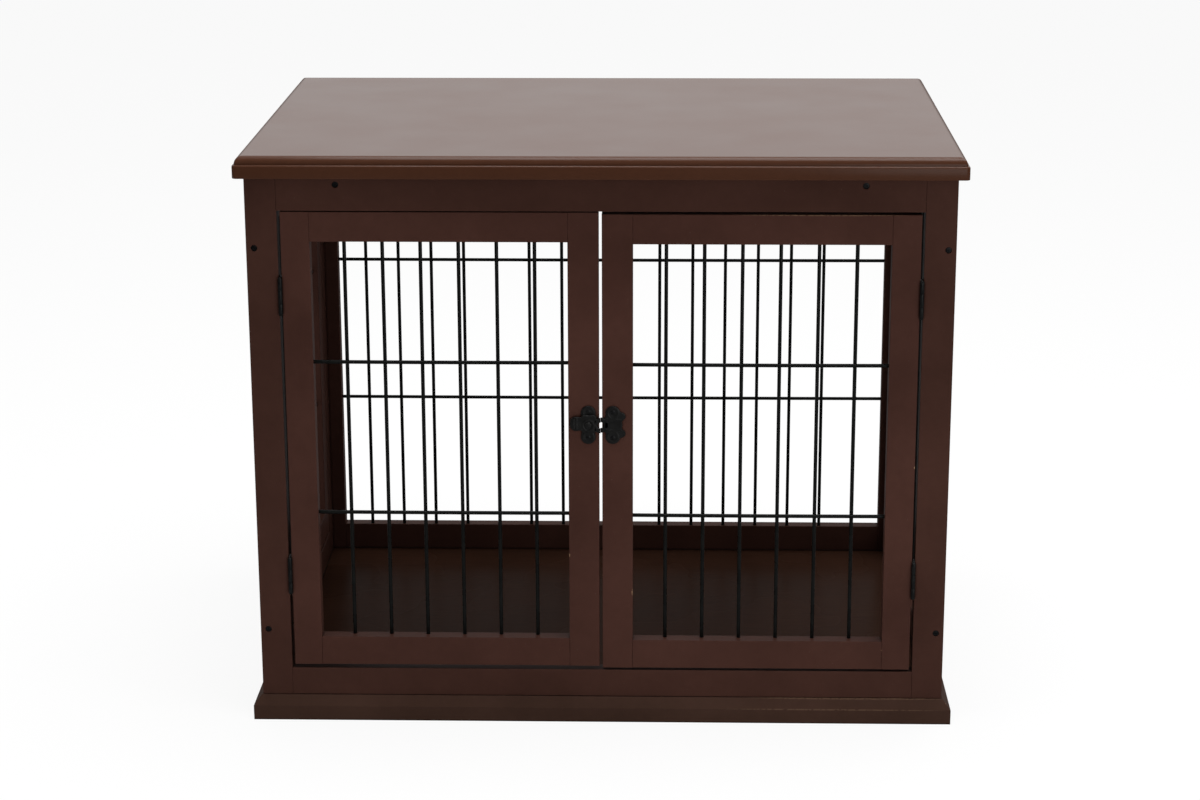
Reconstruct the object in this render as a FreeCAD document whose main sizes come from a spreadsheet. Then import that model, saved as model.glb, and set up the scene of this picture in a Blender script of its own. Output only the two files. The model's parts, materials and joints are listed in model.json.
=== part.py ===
import FreeCAD, Part
import os
import re
from collections import namedtuple

from FreeCAD import Placement, Rotation, Vector

# Dog crate end table, in millimetres. +X is to the right of someone facing the
# double doors, +Y points to the back, +Z is up. The origin is the middle of the
# footprint on the floor, under the moulded base.
#
# Four wooden frames (front, back, left, right) stand on a mitred base moulding
# and carry a moulded table top. The front frame holds a pair of wire doors, the
# left frame one wire door, and the right and back frames hold fixed wire grilles.

# Driving dimensions, each written once.
SIZES = {
    # table top
    "top_width": 820.0,
    "top_depth": 575.0,
    "total_height": 671.3,
    "top_thick": 24.6,
    "top_overhang": 11.5,
    "top_corner_round": 5.0,
    "nose_height": 15.2,
    "nose_ease": 1.6,
    "nose_underside_ease": 0.8,
    "crown_inset": 2.6,
    "crown_round": 8.5,
    # base moulding and floor
    "base_height": 28.3,
    "base_overhang": 10.3,
    "base_face_height": 17.4,
    "base_slope_run": 9.0,
    "base_ledge": 12.0,
    "floor_thick": 12.0,
    "floor_drop": 1.3,
    "floor_clear": 0.3,
    # frames and doors
    "panel_thick": 18.0,
    "frame_stile": 35.5,
    "frame_foot": 33.1,
    "frame_head": 38.2,
    "hinge_stile": 32.5,
    "latch_stile": 35.0,
    "door_rail": 34.1,
    "edge_ease": 0.5,
    "hinge_gap": 3.6,
    "latch_gap": 3.6,
    "door_foot_clear": 4.9,
    "door_head_clear": 1.2,
    "right_door_drop": 2.0,
    # welded wire grilles
    "wire_size": 4.0,
    "wire_seat": 8.0,
    "wire_clear": 0.15,
    "wire_set_back": 13.0,
    "weld_bite": 0.4,
    "door_wire_pitch": 43.0,
    "door_cross_spacing": 180.0,
    "door_cross_rise": 4.5,
    "fixed_wire_pitch": 43.5,
    "fixed_cross_spacing": 190.0,
    "fixed_cross_rise": 0.0,
    # butt hinges
    "hinge_length": 43.0,
    "hinge_above_foot": 88.7,
    "hinge_below_head": 75.5,
    "knuckle_radius": 2.4,
    "knuckle_clear": 0.4,
    "middle_knuckle": 16.0,
    "leaf_thick": 1.2,
    "leaf_reach": 14.5,
    "pin_size": 2.6,
    "pin_clear": 0.05,
    # butterfly latches
    "latch_height": 360.5,
    "latch_plate_thick": 1.6,
    "latch_lobe_radius": 8.5,
    "latch_lobe_rise": 14.0,
    "latch_pivot_reach": 14.0,
    "latch_web_width": 15.0,
    "keeper_ear_radius": 5.0,
    "keeper_ear_reach": 23.5,
    "keeper_ear_rise": 10.0,
    "lever_thick": 2.4,
    "lever_clear": 0.3,
    "lever_width": 20.0,
    "lever_lift": 2.0,
    "lever_tab_reach": 35.0,
    "lever_tab_width": 16.0,
    "ring_radius": 9.0,
    "ring_hole_radius": 3.6,
    "ring_split": 0.3,
    "stud_radius": 2.5,
    "stud_head_radius": 4.0,
    "stud_head_thick": 1.4,
    # cleats and screws
    "cleat_width": 24.0,
    "cleat_thick": 18.0,
    "cleat_end_gap": 20.0,
    "screw_size": 4.0,
    "screw_head_size": 7.0,
    "screw_head_thick": 3.0,
    "screw_sink": 0.6,
    "screw_clear": 0.1,
    "frame_screw_length": 45.0,
    "frame_screw_inset": 81.2,
    "cleat_screw_length": 38.0,
    "cleat_screw_reach": 296.0,
    "cleat_screw_drop": 8.3,
    "top_screw_length": 32.0,
    "top_screw_reach": 240.0,
    "base_screw_length": 42.0,
    "base_screw_inset": 120.0,
}

# Sizes that follow from the driving ones.
LAYOUT = {
    "frame_width": "top_width - 2 * top_overhang",
    "frame_depth": "top_depth - 2 * top_overhang",
    "frame_height": "total_height - top_thick - base_height",
    "frame_top": "base_height + frame_height",
    "side_length": "frame_depth - 2 * panel_thick",
    "door_height": "frame_height - frame_foot - frame_head - door_foot_clear - door_head_clear",
    "door_foot": "base_height + frame_foot + door_foot_clear",
    "front_door_width": "(frame_width - 2 * frame_stile - 2 * hinge_gap - latch_gap) / 2",
    "side_door_width": "side_length - 2 * frame_stile - hinge_gap - latch_gap",
    "hinge_spacing": "door_height - hinge_above_foot - hinge_below_head - hinge_length",
    "hinge_proud": "knuckle_radius + knuckle_clear + 0.1",
    "bore_radius": "pin_size / 2 + pin_clear",
    "floor_top": "base_height - floor_drop",
    "cleat_length": "frame_width - 2 * panel_thick - 2 * cleat_end_gap",
    "lever_foot": "latch_plate_thick + lever_clear",
    "stud_length": "lever_foot + lever_thick + lever_clear",
    "latch_rise": "latch_height - door_foot",
    "board_width": "base_overhang + panel_thick + base_ledge",
    "board_length": "frame_width + 2 * base_overhang",
    "board_span": "frame_depth + 2 * base_overhang",
}

WIRE_SIDES = 6
SCREW_SIDES = 8
ROUND_SIDES = 12

doc = FreeCAD.newDocument("dog_crate_end_table")
nodes = []


# ---------------------------------------------------------------- the sheet

def fill_sheet():
    """Write each driving dimension in its own named cell."""
    sheet = doc.addObject("Spreadsheet::Sheet", "Sizes")
    for row, (word, size) in enumerate(SIZES.items(), start=1):
        sheet.set(f"A{row}", word)
        sheet.set(f"B{row}", str(size))
        sheet.setAlias(f"B{row}", word)
    doc.recompute()


def formula(text):
    """Turn the words of a formula into cells of the sheet."""
    def swap(match):
        word = match.group(0)
        if word in LAYOUT:
            return "(" + formula(LAYOUT[word]) + ")"
        return "Sizes." + word if word in SIZES else word
    return re.sub(r"[a-z_]+", swap, text)


def bind(item, **sizes):
    """Tie properties of an object to formulas."""
    for name, text in sizes.items():
        item.setExpression(name, formula(text))


def put(item, at, turn=Rotation()):
    """Turn an object, then tie its place to three formulas."""
    item.Placement = Placement(Vector(), turn)
    for axis, text in zip("xyz", at):
        item.setExpression("Placement.Base." + axis, formula(text))


# ---------------------------------------------------------------- features

# Turns that point a feature's own +Z along each axis.
ALONG = {
    "+x": Rotation(Vector(0, 1, 0), 90),
    "-x": Rotation(Vector(0, 1, 0), -90),
    "+y": Rotation(Vector(1, 0, 0), -90),
    "-y": Rotation(Vector(1, 0, 0), 90),
    "+z": Rotation(),
    "-z": Rotation(Vector(1, 0, 0), 180),
}


def new_body(label, place):
    """Start a sub-part in the frame of the panel that it belongs to."""
    at, turn = place
    body = doc.addObject("PartDesign::Body", label)
    body.Label = label
    body.AllowCompound = True
    put(body, at, turn)
    nodes.append(body)
    return body


def block(body, size, at, cut=False):
    """Add a box to a body, or cut it away."""
    kind = "PartDesign::SubtractiveBox" if cut else "PartDesign::AdditiveBox"
    box = body.newObject(kind, "Block")
    bind(box, Length=size[0], Width=size[1], Height=size[2])
    put(box, at)
    return box


def bar(body, sides, radius, length, at, along, cut=False, flats=True):
    """Add a many-sided bar to a body, or cut it away; radius is to its flats.

    flats turns the bar so that flats, not corners, face along the other axes.
    """
    kind = "PartDesign::SubtractivePrism" if cut else "PartDesign::AdditivePrism"
    prism = body.newObject(kind, "Bar")
    prism.Polygon = sides
    spin = Rotation(Vector(0, 0, 1), 180 / sides if flats else 0)
    bind(prism, Circumradius=f"({radius}) / cos({180 / sides})", Height=length)
    put(prism, at, ALONG[along] * spin)
    return prism


def wedge(body, near, far, run, at=("0", "0", "0"), turn=Rotation()):
    """Add a block whose section changes evenly along y: (half width, low z, high z) at each end."""
    piece = body.newObject("PartDesign::AdditiveWedge", "Wedge")
    bind(piece, Xmin=f"-({near[0]})", Xmax=near[0], Zmin=near[1], Zmax=near[2],
         X2min=f"-({far[0]})", X2max=far[0], Z2min=far[1], Z2max=far[2], Ymin="0", Ymax=run)
    put(piece, at, turn)
    return piece


def disc(body, radius, thick, at, along, cut=False):
    """Add a round disc or stud to a body, or cut it away."""
    kind = "PartDesign::SubtractiveCylinder" if cut else "PartDesign::AdditiveCylinder"
    cylinder = body.newObject(kind, "Disc")
    bind(cylinder, Radius=radius, Height=thick)
    put(cylinder, at, ALONG[along])
    return cylinder


def repeat(body, features, axis, count, length):
    """Repeat features in a row along an axis of the body."""
    pattern = body.newObject("PartDesign::LinearPattern", "Row")
    pattern.Originals = features
    line = [o for o in body.Origin.OriginFeatures if o.Role == axis + "_Axis"][0]
    pattern.Direction = (line, [""])
    bind(pattern, Occurrences=count, Length=length)
    body.Tip = pattern
    return pattern


def edges_where(shape, test):
    """Names of the edges whose two ends pass a test."""
    found = []
    for number, edge in enumerate(shape.Edges, start=1):
        ends = [vertex.Point for vertex in edge.Vertexes]
        if len(ends) == 2 and test(ends[0], ends[1]):
            found.append(f"Edge{number}")
    return found


def soften(body, kind, base, size, test):
    """Chamfer or fillet the edges of a feature that pass a test."""
    doc.recompute()
    dress = body.newObject("PartDesign::" + kind, kind)
    dress.Base = (base, edges_where(base.Shape, test))
    bind(dress, **{"Size" if kind == "Chamfer" else "Radius": size})
    return dress


def runs_along(axis):
    """Test for edges that run along one axis, 0, 1 or 2."""
    def test(a, b):
        step = b - a
        return abs(step[axis]) > 0.999 * step.Length
    return test


# ---------------------------------------------------------------- wooden frames

def member(label, place, size, at, grain):
    """One bar of a frame, its four long edges eased."""
    body = new_body(label, place)
    wood = block(body, size, at)
    soften(body, "Chamfer", wood, "edge_ease", runs_along(grain))
    return body


def socket_row(body, at, along, axis, count, pitch):
    """A row of blind holes for the ends of wires."""
    radius = "wire_size / 2 + wire_clear"
    depth = "wire_seat + wire_clear"
    first = bar(body, WIRE_SIDES, radius, depth, at, along, cut=True)
    repeat(body, [first], axis, count, f"({count} - 1) * ({pitch})")


# A panel: its place, its outer size, and the widths of its near, far, bottom and top bars.
Panel = namedtuple("Panel", "place width height near far foot head")


def wood_frame(prefix, ends, panel):
    """Two full-height stiles with two rails between them."""
    rail = f"({panel.width}) - {panel.near} - {panel.far}"
    far_x = f"({panel.width}) - {panel.far}"
    head_z = f"({panel.height}) - {panel.head}"

    def stile(end, width, x):
        return member(f"{prefix}_{end}", panel.place, (width, "panel_thick", panel.height), (x, "0", "0"), 2)

    def level(end, width, z):
        return member(f"{prefix}_{end}", panel.place, (rail, "panel_thick", width), (panel.near, "0", z), 0)

    return {
        "near": stile(ends[0], panel.near, "0"),
        "far": stile(ends[1], panel.far, far_x),
        "bottom": level("rail_bottom", panel.foot, "0"),
        "top": level("rail_top", panel.head, head_z),
    }


def wire_grille(label, frame, panel, kind):
    """A welded grille let into its frame: upright wires, and two cross wires in front."""
    pitch = f"{kind}_wire_pitch"
    spacing = f"{kind}_cross_spacing"
    opening = f"(({panel.width}) - {panel.near} - {panel.far})"
    open_height = f"(({panel.height}) - {panel.foot} - {panel.head})"
    count = f"floor({opening} / ({pitch}))"
    row = f"({count} - 1) * ({pitch})"
    first_x = f"{panel.near} + ({opening} - {row}) / 2"
    low_z = f"{panel.foot} + ({open_height} - ({spacing})) / 2 + {kind}_cross_rise"
    cross_y = "wire_set_back - wire_size + weld_bite"
    left_x = f"{panel.near} - wire_seat"
    foot_z = f"{panel.foot} - wire_seat"

    body = new_body(label, panel.place)
    radius = "wire_size / 2"
    cross_length = f"{opening} + 2 * wire_seat"
    upright_length = f"{open_height} + 2 * wire_seat"
    bar(body, WIRE_SIDES, radius, cross_length, (left_x, cross_y, low_z), "+x")
    bar(body, WIRE_SIDES, radius, cross_length, (left_x, cross_y, f"{low_z} + ({spacing})"), "+x")
    upright = bar(body, WIRE_SIDES, radius, upright_length, (first_x, "wire_set_back", foot_z), "+z")
    repeat(body, [upright], "X", count, row)

    head_z = f"({panel.height}) - {panel.head}"
    far_x = f"({panel.width}) - {panel.far}"
    socket_row(frame["bottom"], (first_x, "wire_set_back", panel.foot), "-z", "X", count, pitch)
    socket_row(frame["top"], (first_x, "wire_set_back", head_z), "+z", "X", count, pitch)
    socket_row(frame["near"], (panel.near, cross_y, low_z), "-x", "Z", "2", spacing)
    socket_row(frame["far"], (far_x, cross_y, low_z), "+x", "Z", "2", spacing)


# ---------------------------------------------------------------- hinges

def hinge_leaves(label, place, axis_x, side, first_z, moving):
    """The two leaves on one side of a jamb, with the knuckles that they carry.

    side is -1 for leaves on the wood before the axis, +1 for those beyond it.
    """
    body = new_body(label, place)
    gap_half = "hinge_gap / 2"
    face = f"({axis_x}) - {gap_half}" if side < 0 else f"({axis_x}) + {gap_half} - leaf_thick"
    plate = block(body, ("leaf_thick", "leaf_reach + hinge_proud", "hinge_length"),
                  (face, "-hinge_proud", first_z))
    axis = (axis_x, "-hinge_proud", first_z)
    barrel = bar(body, ROUND_SIDES, "knuckle_radius", "hinge_length", axis, "+z", flats=False)

    reach = "2 * (knuckle_radius + knuckle_clear)"
    notch_x = f"({axis_x}) - knuckle_radius - knuckle_clear"
    notch_y = "-hinge_proud - knuckle_radius - knuckle_clear"
    end_knuckle = "(hinge_length - middle_knuckle) / 2"
    if moving:
        notch_length = f"{end_knuckle} + knuckle_clear"
        starts = (f"({first_z}) - knuckle_clear", f"({first_z}) + hinge_length - {end_knuckle}")
    else:
        notch_length = "middle_knuckle"
        starts = (f"({first_z}) + {end_knuckle}",)
    notches = [block(body, (reach, reach, notch_length), (notch_x, notch_y, z), cut=True) for z in starts]
    bore = bar(body, ROUND_SIDES, "bore_radius", "hinge_length", axis, "+z", cut=True, flats=False)
    repeat(body, [plate, barrel, *notches, bore], "Z", "2", "hinge_spacing")


def pin_pair(place, axis_x, first_z):
    """The two pins of one door, as loose primitives for the pin group."""
    at, turn = place
    pins = []
    for rise in ("0", "hinge_spacing"):
        pin = doc.addObject("Part::Prism", "Pin")
        pin.Polygon = ROUND_SIDES
        bind(pin, Circumradius="pin_size / 2", Height="hinge_length")
        local = (axis_x, "-hinge_proud", f"({first_z}) + {rise}")
        put(pin, placed(at, turn, local), turn)
        pins.append(pin)
    return pins


def placed(at, turn, local):
    """Formulas for a point given in a turned frame, whose turns are quarter turns."""
    columns = [turn.multVec(Vector(*unit)) for unit in ((1, 0, 0), (0, 1, 0), (0, 0, 1))]
    world = []
    for axis in range(3):
        terms = [f"({at[axis]})"]
        for part, column in zip(local, columns):
            if abs(column[axis]) > 0.5:
                terms.append(f"{'+' if column[axis] > 0 else '-'} ({part})")
        world.append(" ".join(terms))
    return tuple(world)


# ---------------------------------------------------------------- latches

def latch_lobes(body, centre_x, rises):
    """Round screw lobes of a latch plate, above and below its middle."""
    for rise in rises:
        at = (centre_x, "0", f"latch_rise + ({rise})")
        bar(body, ROUND_SIDES, "latch_lobe_radius", "latch_plate_thick", at, "-y")


def latch_plate(label, place, gap_x):
    """The plate on the door: two screw lobes, a web and the stud that the lever turns on."""
    body = new_body(label, place)
    pivot_x = f"({gap_x}) - latch_pivot_reach"
    web_x = f"{pivot_x} - latch_web_width / 2"
    block(body, ("latch_web_width", "latch_plate_thick", "2 * latch_lobe_rise"),
          (web_x, "-latch_plate_thick", "latch_rise - latch_lobe_rise"))
    latch_lobes(body, pivot_x, ("latch_lobe_rise", "-latch_lobe_rise"))
    disc(body, "stud_radius", "stud_length", (pivot_x, "0", "latch_rise"), "-y")
    bar(body, ROUND_SIDES, "stud_head_radius", "stud_head_thick", (pivot_x, "-(stud_length)", "latch_rise"),
        "-y")


def latch_ring(body, gap_x, foot, thick, side):
    """Half of the ring that closes over the gap between the two sides of a latch."""
    centre = (gap_x, f"-({foot})", "latch_rise")
    bar(body, ROUND_SIDES, "ring_radius", thick, centre, "-y")
    bar(body, ROUND_SIDES, "ring_hole_radius", thick, centre, "-y", cut=True)
    width = "ring_radius + ring_split"
    start = f"({gap_x}) - ring_split / 2" if side < 0 else f"({gap_x}) + ring_split / 2 - ({width})"
    block(body, (width, thick, "2 * (ring_radius + ring_split)"),
          (start, f"-({foot}) - ({thick})", "latch_rise - ring_radius - ring_split"), cut=True)


def latch_keeper(label, place, gap_x):
    """The fixed half: two screw lobes, two ears and its half of the ring."""
    body = new_body(label, place)
    lobe_x = f"({gap_x}) + latch_pivot_reach"
    web_x = f"({gap_x}) + latch_gap / 2 + edge_ease"
    block(body, ("keeper_ear_reach - latch_gap / 2 - edge_ease", "latch_plate_thick", "2 * keeper_ear_rise"),
          (web_x, "-latch_plate_thick", "latch_rise - keeper_ear_rise"))
    latch_lobes(body, lobe_x, ("latch_lobe_rise", "-latch_lobe_rise"))
    for rise in ("keeper_ear_rise", "-keeper_ear_rise"):
        at = (f"({gap_x}) + keeper_ear_reach", "0", f"latch_rise + ({rise})")
        bar(body, ROUND_SIDES, "keeper_ear_radius", "latch_plate_thick", at, "-y")
    latch_ring(body, gap_x, "0", "latch_plate_thick", 1)


def latch_lever(label, place, gap_x):
    """The turning half: a flat lever with a thumb tab and its half of the ring."""
    body = new_body(label, place)
    front_y = "-(lever_foot) - lever_thick"
    pivot_x = f"({gap_x}) - latch_pivot_reach"
    arm = "latch_pivot_reach + latch_web_width / 2 - ring_hole_radius - 1"
    block(body, (arm, "lever_thick", "lever_width"),
          (f"{pivot_x} - latch_web_width / 2", front_y, "latch_rise + lever_lift - lever_width / 2"))
    tab = "lever_tab_reach - latch_pivot_reach"
    block(body, (tab, "lever_thick", "lever_tab_width"),
          (f"({gap_x}) - lever_tab_reach", front_y, "latch_rise + lever_lift - lever_tab_width / 2"))
    latch_ring(body, gap_x, "lever_foot", "lever_thick", -1)
    disc(body, "stud_radius + pin_clear", "lever_thick", (pivot_x, "-(lever_foot)", "latch_rise"), "-y",
         cut=True)


# ---------------------------------------------------------------- screws

def drill(body, at, along, length, head=True):
    """A screw's hole: a shank hole, and a wider seat for its head at the start."""
    bar(body, SCREW_SIDES, "screw_size / 2 + screw_clear", length, at, along, cut=True)
    if head:
        depth = "screw_head_thick + screw_sink"
        bar(body, SCREW_SIDES, "screw_head_size / 2 + screw_clear", depth, at, along, cut=True)


def screw(place, local, along, length):
    """One screw in the frame of a panel: its head is sunk below the given point."""
    at, turn = place
    way = turn * ALONG[along]
    head_at = placed(placed(at, turn, local), way, ("0", "0", "screw_sink"))
    pieces = []
    for radius, reach in (("screw_head_size / 2", "screw_head_thick"), ("screw_size / 2", length)):
        prism = doc.addObject("Part::Prism", "Shank")
        prism.Polygon = SCREW_SIDES
        bind(prism, Circumradius=f"({radius}) / cos({180 / SCREW_SIDES})", Height=reach)
        put(prism, head_at, way * Rotation(Vector(0, 0, 1), 180 / SCREW_SIDES))
        pieces.append(prism)
    whole = doc.addObject("Part::MultiFuse", "Screw")
    whole.Shapes = pieces
    return whole


def group(label, members):
    """Several like pieces kept as one sub-part."""
    compound = doc.addObject("Part::Compound", label)
    compound.Label = label
    compound.Links = members
    nodes.append(compound)


# ---------------------------------------------------------------- table top

def top_board():
    """The moulded board: a nose, a narrow ledge above it, then a quarter round up to the flat."""
    body = new_body("top_board", (("0", "0", "frame_top"), Rotation()))
    slab = block(body, ("top_width", "top_depth", "nose_height"),
                 ("-top_width / 2", "-top_depth / 2", "0"))
    corners = soften(body, "Fillet", slab, "top_corner_round", runs_along(2))
    nose = soften(body, "Chamfer", corners, "nose_ease", at_level(SIZES["nose_height"]))
    soften(body, "Chamfer", nose, "nose_underside_ease", at_level(0.0))

    crown = block(body, ("top_width - 2 * crown_inset", "top_depth - 2 * crown_inset", "top_thick - nose_height"),
                  ("crown_inset - top_width / 2", "crown_inset - top_depth / 2", "nose_height"))
    soften(body, "Fillet", crown, "crown_round", at_level(SIZES["top_thick"]))
    return body


def at_level(height):
    """Test for edges whose two ends lie at one height."""
    def test(a, b):
        return abs(a.z - height) < 1e-6 and abs(b.z - height) < 1e-6
    return test


def cleat(label, place):
    """A bar behind a top rail, which ties the rail to the table top."""
    local = ("cleat_end_gap + panel_thick", "panel_thick", "frame_height - cleat_thick")
    return member(label, place, ("cleat_length", "cleat_width", "cleat_thick"), local, 0)


# ---------------------------------------------------------------- base and floor

def base_board(label, at, turn, length):
    """One mitred board of the base: a face, a slope up to the frame, a seat and a ledge."""
    body = new_body(label, (at, Rotation(Vector(0, 0, 1), turn)))
    half = f"({length}) / 2"
    ledge_start = "(base_overhang + panel_thick)"
    wedge(body, (half, "0", "base_face_height"), (f"{half} - base_slope_run", "0", "base_height"),
          "base_slope_run")
    wedge(body, (f"{half} - base_slope_run", "0", "base_height"),
          (f"{half} - {ledge_start}", "0", "base_height"),
          f"{ledge_start} - base_slope_run", ("0", "base_slope_run", "0"))
    ledge_top = "floor_top - floor_thick"
    wedge(body, (f"{half} - {ledge_start}", "0", ledge_top), (f"{half} - board_width", "0", ledge_top),
          "base_ledge", ("0", ledge_start, "0"))
    return body


def floor_panel():
    """The board that the dog lies on, resting on the ledges of the base."""
    body = new_body("floor_panel", (("0", "0", "floor_top - floor_thick"), Rotation()))
    width = "(frame_width - 2 * panel_thick - 2 * floor_clear)"
    depth = "(frame_depth - 2 * panel_thick - 2 * floor_clear)"
    board = block(body, (width, depth, "floor_thick"), (f"-{width} / 2", f"-{depth} / 2", "0"))
    soften(body, "Chamfer", board, "edge_ease", at_level(SIZES["floor_thick"]))
    return body


# ---------------------------------------------------------------- build

fill_sheet()

# Each frame is drawn as seen from outside: x to the right, y inwards, z up.
ABOUT_Z = {turn: Rotation(Vector(0, 0, 1), turn) for turn in (0, 90, 180, -90)}
FRONT = (("-frame_width / 2", "-frame_depth / 2", "base_height"), ABOUT_Z[0])
BACK = (("frame_width / 2", "frame_depth / 2", "base_height"), ABOUT_Z[180])
LEFT = (("-frame_width / 2", "side_length / 2", "base_height"), ABOUT_Z[-90])
RIGHT = (("frame_width / 2", "-side_length / 2", "base_height"), ABOUT_Z[90])
LEFT_DOOR = (("-frame_width / 2 + frame_stile + hinge_gap", "-frame_depth / 2", "door_foot"), ABOUT_Z[0])
RIGHT_DOOR = (("latch_gap / 2", "-frame_depth / 2", "door_foot - right_door_drop"), ABOUT_Z[0])
SIDE_DOOR = (("-frame_width / 2", "side_length / 2 - frame_stile - hinge_gap", "door_foot"), ABOUT_Z[-90])
# The right door hangs on its far edge: its hinges are drawn upside down from its top corner.
RIGHT_HINGES = (("frame_width / 2 - frame_stile - hinge_gap", "-frame_depth / 2",
                 "door_foot - right_door_drop + door_height"), Rotation(Vector(0, 1, 0), 180))

FIXED_BARS = ("frame_stile", "frame_stile", "frame_foot", "frame_head")
FRONT_PANEL = Panel(FRONT, "frame_width", "frame_height", *FIXED_BARS)
BACK_PANEL = Panel(BACK, "frame_width", "frame_height", *FIXED_BARS)
LEFT_PANEL = Panel(LEFT, "side_length", "frame_height", *FIXED_BARS)
RIGHT_PANEL = Panel(RIGHT, "side_length", "frame_height", *FIXED_BARS)

front = wood_frame("front", ("stile_left", "stile_right"), FRONT_PANEL)
back = wood_frame("back", ("stile_right", "stile_left"), BACK_PANEL)
left = wood_frame("left_side", ("stile_back", "stile_front"), LEFT_PANEL)
right = wood_frame("right_side", ("stile_front", "stile_back"), RIGHT_PANEL)
wire_grille("back_grille", back, BACK_PANEL, "fixed")
wire_grille("right_side_grille", right, RIGHT_PANEL, "fixed")

pins = []
NEAR_HINGED = ("hinge_stile", "latch_stile")
FAR_HINGED = ("latch_stile", "hinge_stile")
DOORS = (
    ("front_left_door", LEFT_DOOR, "front_door_width", NEAR_HINGED, LEFT_DOOR, "hinge_above_foot"),
    ("front_right_door", RIGHT_DOOR, "front_door_width", FAR_HINGED, RIGHT_HINGES, "hinge_below_head"),
    ("side_door", SIDE_DOOR, "side_door_width", NEAR_HINGED, SIDE_DOOR, "hinge_above_foot"),
)
for name, place, width, stiles, hinge_place, first_hinge in DOORS:
    panel = Panel(place, width, "door_height", *stiles, "door_rail", "door_rail")
    frame = wood_frame(name, stiles, panel)
    wire_grille(name + "_grille", frame, panel, "door")
    axis_x = "-hinge_gap / 2"
    hinge_leaves(name + "_hinge_leaves", hinge_place, axis_x, 1, first_hinge, moving=True)
    hinge_leaves(name + "_jamb_leaves", hinge_place, axis_x, -1, first_hinge, moving=False)
    pins += pin_pair(hinge_place, axis_x, first_hinge)
group("hinge_pins", pins)

LATCHES = (("front", LEFT_DOOR, "front_door_width + latch_gap / 2"),
           ("side", SIDE_DOOR, "side_door_width + latch_gap / 2"))
for name, place, gap_x in LATCHES:
    latch_plate(name + "_latch_plate", place, gap_x)
    latch_lever(name + "_latch_lever", place, gap_x)
    latch_keeper(name + "_latch_keeper", place, gap_x)

top = top_board()
cleats = {"front": cleat("top_cleat_front", FRONT), "back": cleat("top_cleat_back", BACK)}
floor_panel()
out_x = "frame_width / 2 + base_overhang"
out_y = "frame_depth / 2 + base_overhang"
bases = {
    "front": base_board("base_front", ("0", f"-({out_y})", "0"), 0, "board_length"),
    "back": base_board("base_back", ("0", out_y, "0"), 180, "board_length"),
    "left": base_board("base_left", (f"-({out_x})", "0", "0"), -90, "board_span"),
    "right": base_board("base_right", (out_x, "0", "0"), 90, "board_span"),
}

# Screws through the front and back stiles into the side frames.
mid = "panel_thick / 2"
frame_screws = []
for frame, place, near_side, far_side in (
        (front, FRONT, (left["far"], "side_length", "-x"), (right["near"], "0", "+x")),
        (back, BACK, (right["far"], "side_length", "-x"), (left["near"], "0", "+x"))):
    for z in ("frame_screw_inset", "frame_height - frame_screw_inset"):
        for stile, x, (side, end_x, way) in ((frame["near"], mid, near_side),
                                             (frame["far"], f"frame_width - {mid}", far_side)):
            drill(stile, (x, "0", z), "+y", "panel_thick")
            drill(side, (end_x, mid, z), way, "frame_screw_length + screw_sink - panel_thick", head=False)
            frame_screws.append(screw(place, (x, "0", z), "+y", "frame_screw_length"))
group("frame_screws", frame_screws)

# Screws through the top rails into the cleats, and up through the cleats into the board.
cleat_screws = []
top_screws = []
screw_z = "frame_height - cleat_screw_drop"
for side, frame, place in (("front", front, FRONT), ("back", back, BACK)):
    for reach in ("-cleat_screw_reach", "cleat_screw_reach"):
        x = f"frame_width / 2 + {reach}"
        drill(frame["top"], (x, "0", screw_z), "+y", "panel_thick")
        drill(cleats[side], (x, "panel_thick", screw_z), "+y",
              "cleat_screw_length + screw_sink - panel_thick", head=False)
        cleat_screws.append(screw(place, (x, "0", screw_z), "+y", "cleat_screw_length"))
    for reach in ("-top_screw_reach", "0", "top_screw_reach"):
        x = f"frame_width / 2 + {reach}"
        y = "panel_thick + cleat_width / 2"
        foot = "frame_height - cleat_thick"
        drill(cleats[side], (x, y, foot), "+z", "cleat_thick")
        across = (reach, f"{y} - frame_depth / 2" if side == "front" else f"frame_depth / 2 - ({y})", "0")
        drill(top, across, "+z", "top_screw_length + screw_sink - cleat_thick", head=False)
        top_screws.append(screw(place, (x, y, foot), "+z", "top_screw_length"))
group("cleat_screws", cleat_screws)
group("top_screws", top_screws)

# Screws from below through the base boards into the bottom rails.
base_screws = []
for side, frame, place, length in (("front", front, FRONT, "frame_width"), ("back", back, BACK, "frame_width"),
                                   ("left", left, LEFT, "side_length"), ("right", right, RIGHT, "side_length")):
    for reach in (f"base_screw_inset - ({length}) / 2", f"({length}) / 2 - base_screw_inset"):
        drill(bases[side], (reach, f"base_overhang + {mid}", "0"), "+z", "base_height")
        x = f"({length}) / 2 + {reach}"
        drill(frame["bottom"], (x, mid, "0"), "+z",
              "base_screw_length + screw_sink - base_height", head=False)
        base_screws.append(screw(place, (x, mid, "-base_height"), "+z", "base_screw_length"))
group("base_screws", base_screws)

doc.recompute()


# ---------------------------------------------------------------- checks and files

def check(item):
    """Stop if an object failed, or a sub-part has no sound shape."""
    states = [state for state in item.State if state in ("Invalid", "Error")]
    if states:
        raise RuntimeError(f"{item.Label} is {states}")


for item in doc.Objects:
    check(item)
os.makedirs("parts", exist_ok=True)
for node in nodes:
    if node.Shape.isNull() or not node.Shape.isValid():
        raise RuntimeError(f"{node.Label} has no sound shape")
    node.Shape.exportStep(f"parts/{node.Label}.step")
    print(node.Label, len(node.Shape.Solids), round(node.Shape.Volume, 1))
print(len(nodes), "sub-parts")
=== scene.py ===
"""Dog crate end table: paint, wires, hinges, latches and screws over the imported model."""
import json
import math

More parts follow.
